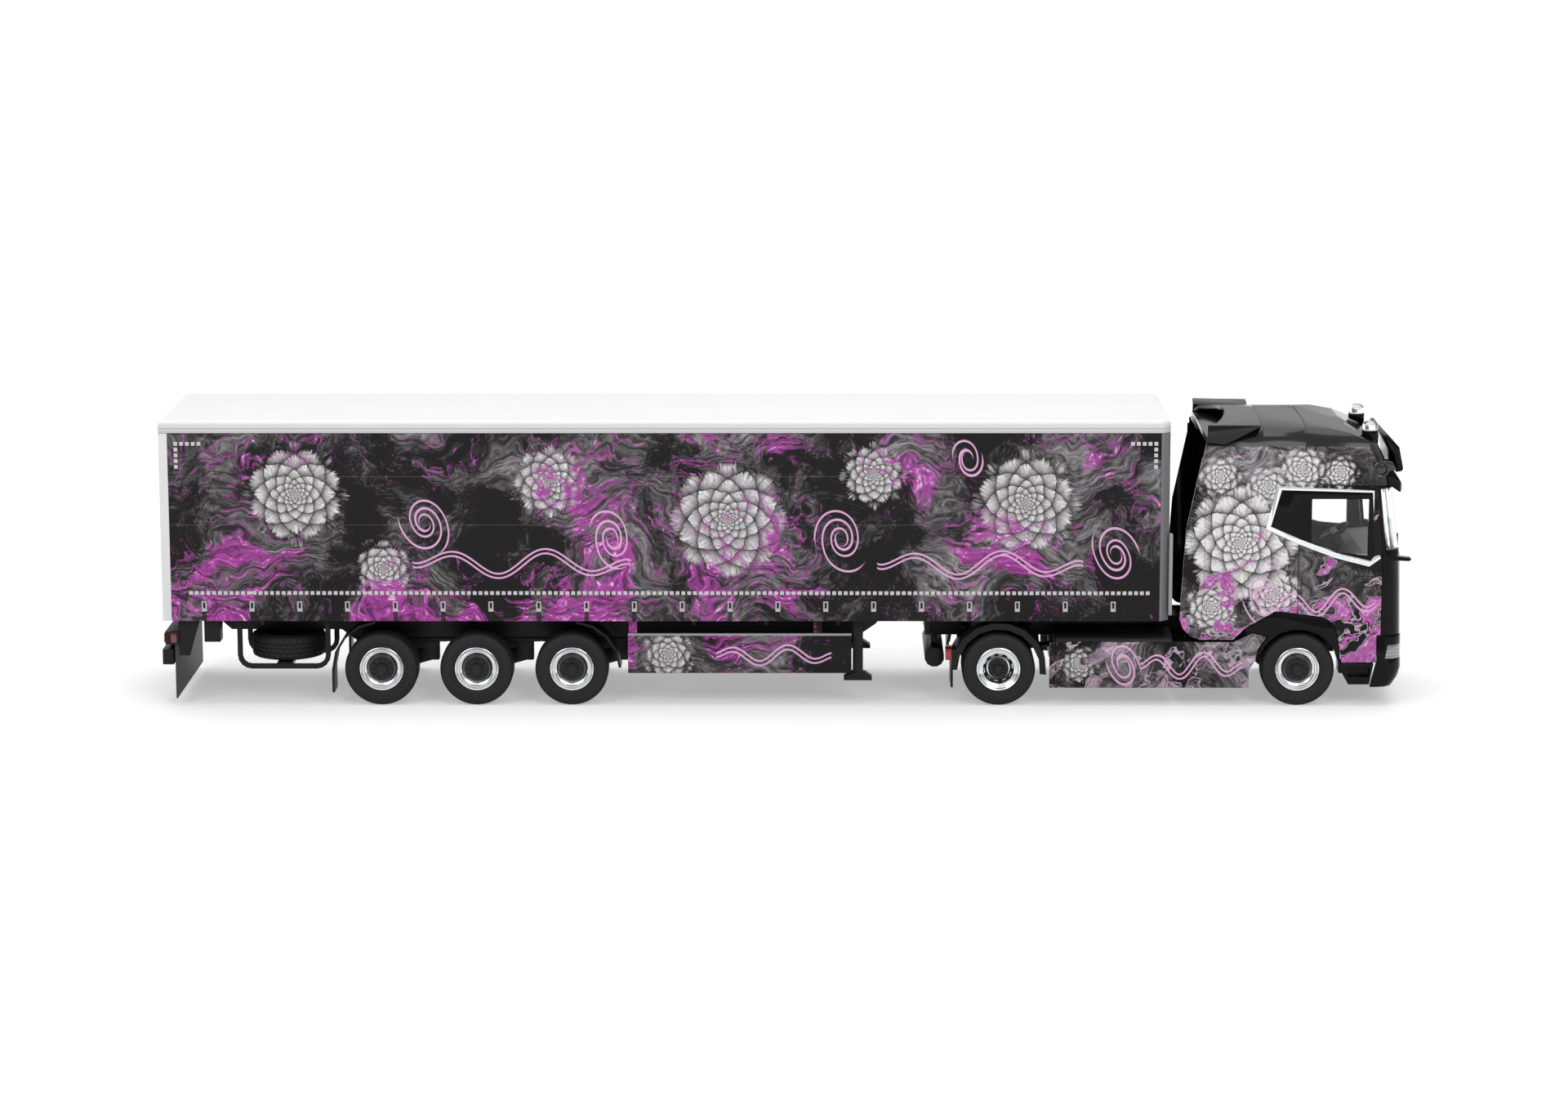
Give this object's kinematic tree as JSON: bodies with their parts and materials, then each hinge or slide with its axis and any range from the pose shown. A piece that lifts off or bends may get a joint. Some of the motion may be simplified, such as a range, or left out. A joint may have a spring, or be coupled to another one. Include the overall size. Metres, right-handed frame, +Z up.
{
  "type": "articulated lorry model",
  "caption": "Collector's scale model of an articulated lorry: a high-roofed tractor unit hinged to a curtain-sided semi-trailer, rolling on turning axles.",
  "frame": {"origin": "on the floor under the middle of the whole lorry's box", "axes": "+X forward along the lorry, +Y to its left, +Z up"},
  "size_m": [0.1942, 0.0294, 0.045],
  "materials": {
    "cab_black": "glossy moulded black, printed on the sides",
    "chassis_black": "satin moulded black",
    "interior_black": "matte moulded dark grey",
    "curtain_print": "satin print in black, grey, white and magenta",
    "white_shell": "satin moulded white",
    "silver_grey": "satin moulded light grey",
    "tyre": "matte moulded black with a fine tread",
    "rim_chrome": "bright plated plastic",
    "trim_chrome": "printed silver",
    "window_clear": "clear moulded plastic",
    "lamp_clear": "clear moulded plastic",
    "lens_red": "glossy red"
  },
  "bodies": {
    "tractor": {"axle_carriers": "chassis_black", "beacon_bases": "trim_chrome", "beacon_domes": "lamp_clear", "bumper": "cab_black", "cab_doors": "cab_black", "cab_front": "cab_black", "cab_interior": "interior_black", "cab_rear": "cab_black", "cab_roof": "cab_black", "drivetrain": "chassis_black", "fifth_wheel": "chassis_black", "front_fenders": "cab_black", "front_lamps": "lamp_clear", "fuel_tanks": "chassis_black", "light_box": "cab_black", "rear_mudguards": "chassis_black", "roof_spoiler": "cab_black", "side_deflectors": "cab_black", "side_skirts": "cab_black", "side_windows": "window_clear", "steering_wheel": "interior_black", "sun_visor": "cab_black", "tail_lamps": "lens_red", "tractor_frame": "chassis_black", "window_surrounds": "cab_black", "window_trims": "trim_chrome", "windscreen": "window_clear"},
    "trailer": {"kingpin_plate": "chassis_black", "landing_legs": "chassis_black", "rear_flap": "chassis_black", "rear_lamps": "lens_red", "rear_underrun": "chassis_black", "side_guards": "curtain_print", "spare_carrier": "chassis_black", "spare_wheel": "tyre", "trailer_axle_arms": "chassis_black", "trailer_curtains": "curtain_print", "trailer_deck": "chassis_black", "trailer_frame": "chassis_black", "trailer_front_wall": "silver_grey", "trailer_mudguards": "chassis_black", "trailer_rear_doors": "white_shell", "trailer_roof": "white_shell"},
    "front_axle": {"front_axle": "chassis_black", "front_rims": "rim_chrome", "front_tyres": "tyre"},
    "drive_axle": {"drive_axle": "chassis_black", "drive_rims": "rim_chrome", "drive_tyres": "tyre"},
    "trailer_axle_1": {"trailer_1_axle": "chassis_black", "trailer_1_rims": "rim_chrome", "trailer_1_tyres": "tyre"},
    "trailer_axle_2": {"trailer_2_axle": "chassis_black", "trailer_2_rims": "rim_chrome", "trailer_2_tyres": "tyre"},
    "trailer_axle_3": {"trailer_3_axle": "chassis_black", "trailer_3_rims": "rim_chrome", "trailer_3_tyres": "tyre"}
  },
  "joints": [
    {"name": "kingpin", "type": "hinge", "parent": "tractor", "child": "trailer", "pos_m": [0.04125, 0, 0.0133], "axis": [0, 0, 1], "range_deg": [-90, 90]},
    {"name": "front_axle_spin", "type": "hinge", "parent": "tractor", "child": "front_axle", "pos_m": [0.07985, 0, 0.0057], "axis": [0, 1, 0], "continuous": true},
    {"name": "drive_axle_spin", "type": "hinge", "parent": "tractor", "child": "drive_axle", "pos_m": [0.03335, 0, 0.0057], "axis": [0, 1, 0], "continuous": true},
    {"name": "trailer_axle_1_spin", "type": "hinge", "parent": "trailer", "child": "trailer_axle_1", "pos_m": [-0.03315, 0, 0.0057], "axis": [0, 1, 0], "continuous": true},
    {"name": "trailer_axle_2_spin", "type": "hinge", "parent": "trailer", "child": "trailer_axle_2", "pos_m": [-0.048, 0, 0.0057], "axis": [0, 1, 0], "continuous": true},
    {"name": "trailer_axle_3_spin", "type": "hinge", "parent": "trailer", "child": "trailer_axle_3", "pos_m": [-0.06285, 0, 0.0057], "axis": [0, 1, 0], "continuous": true}
  ]
}
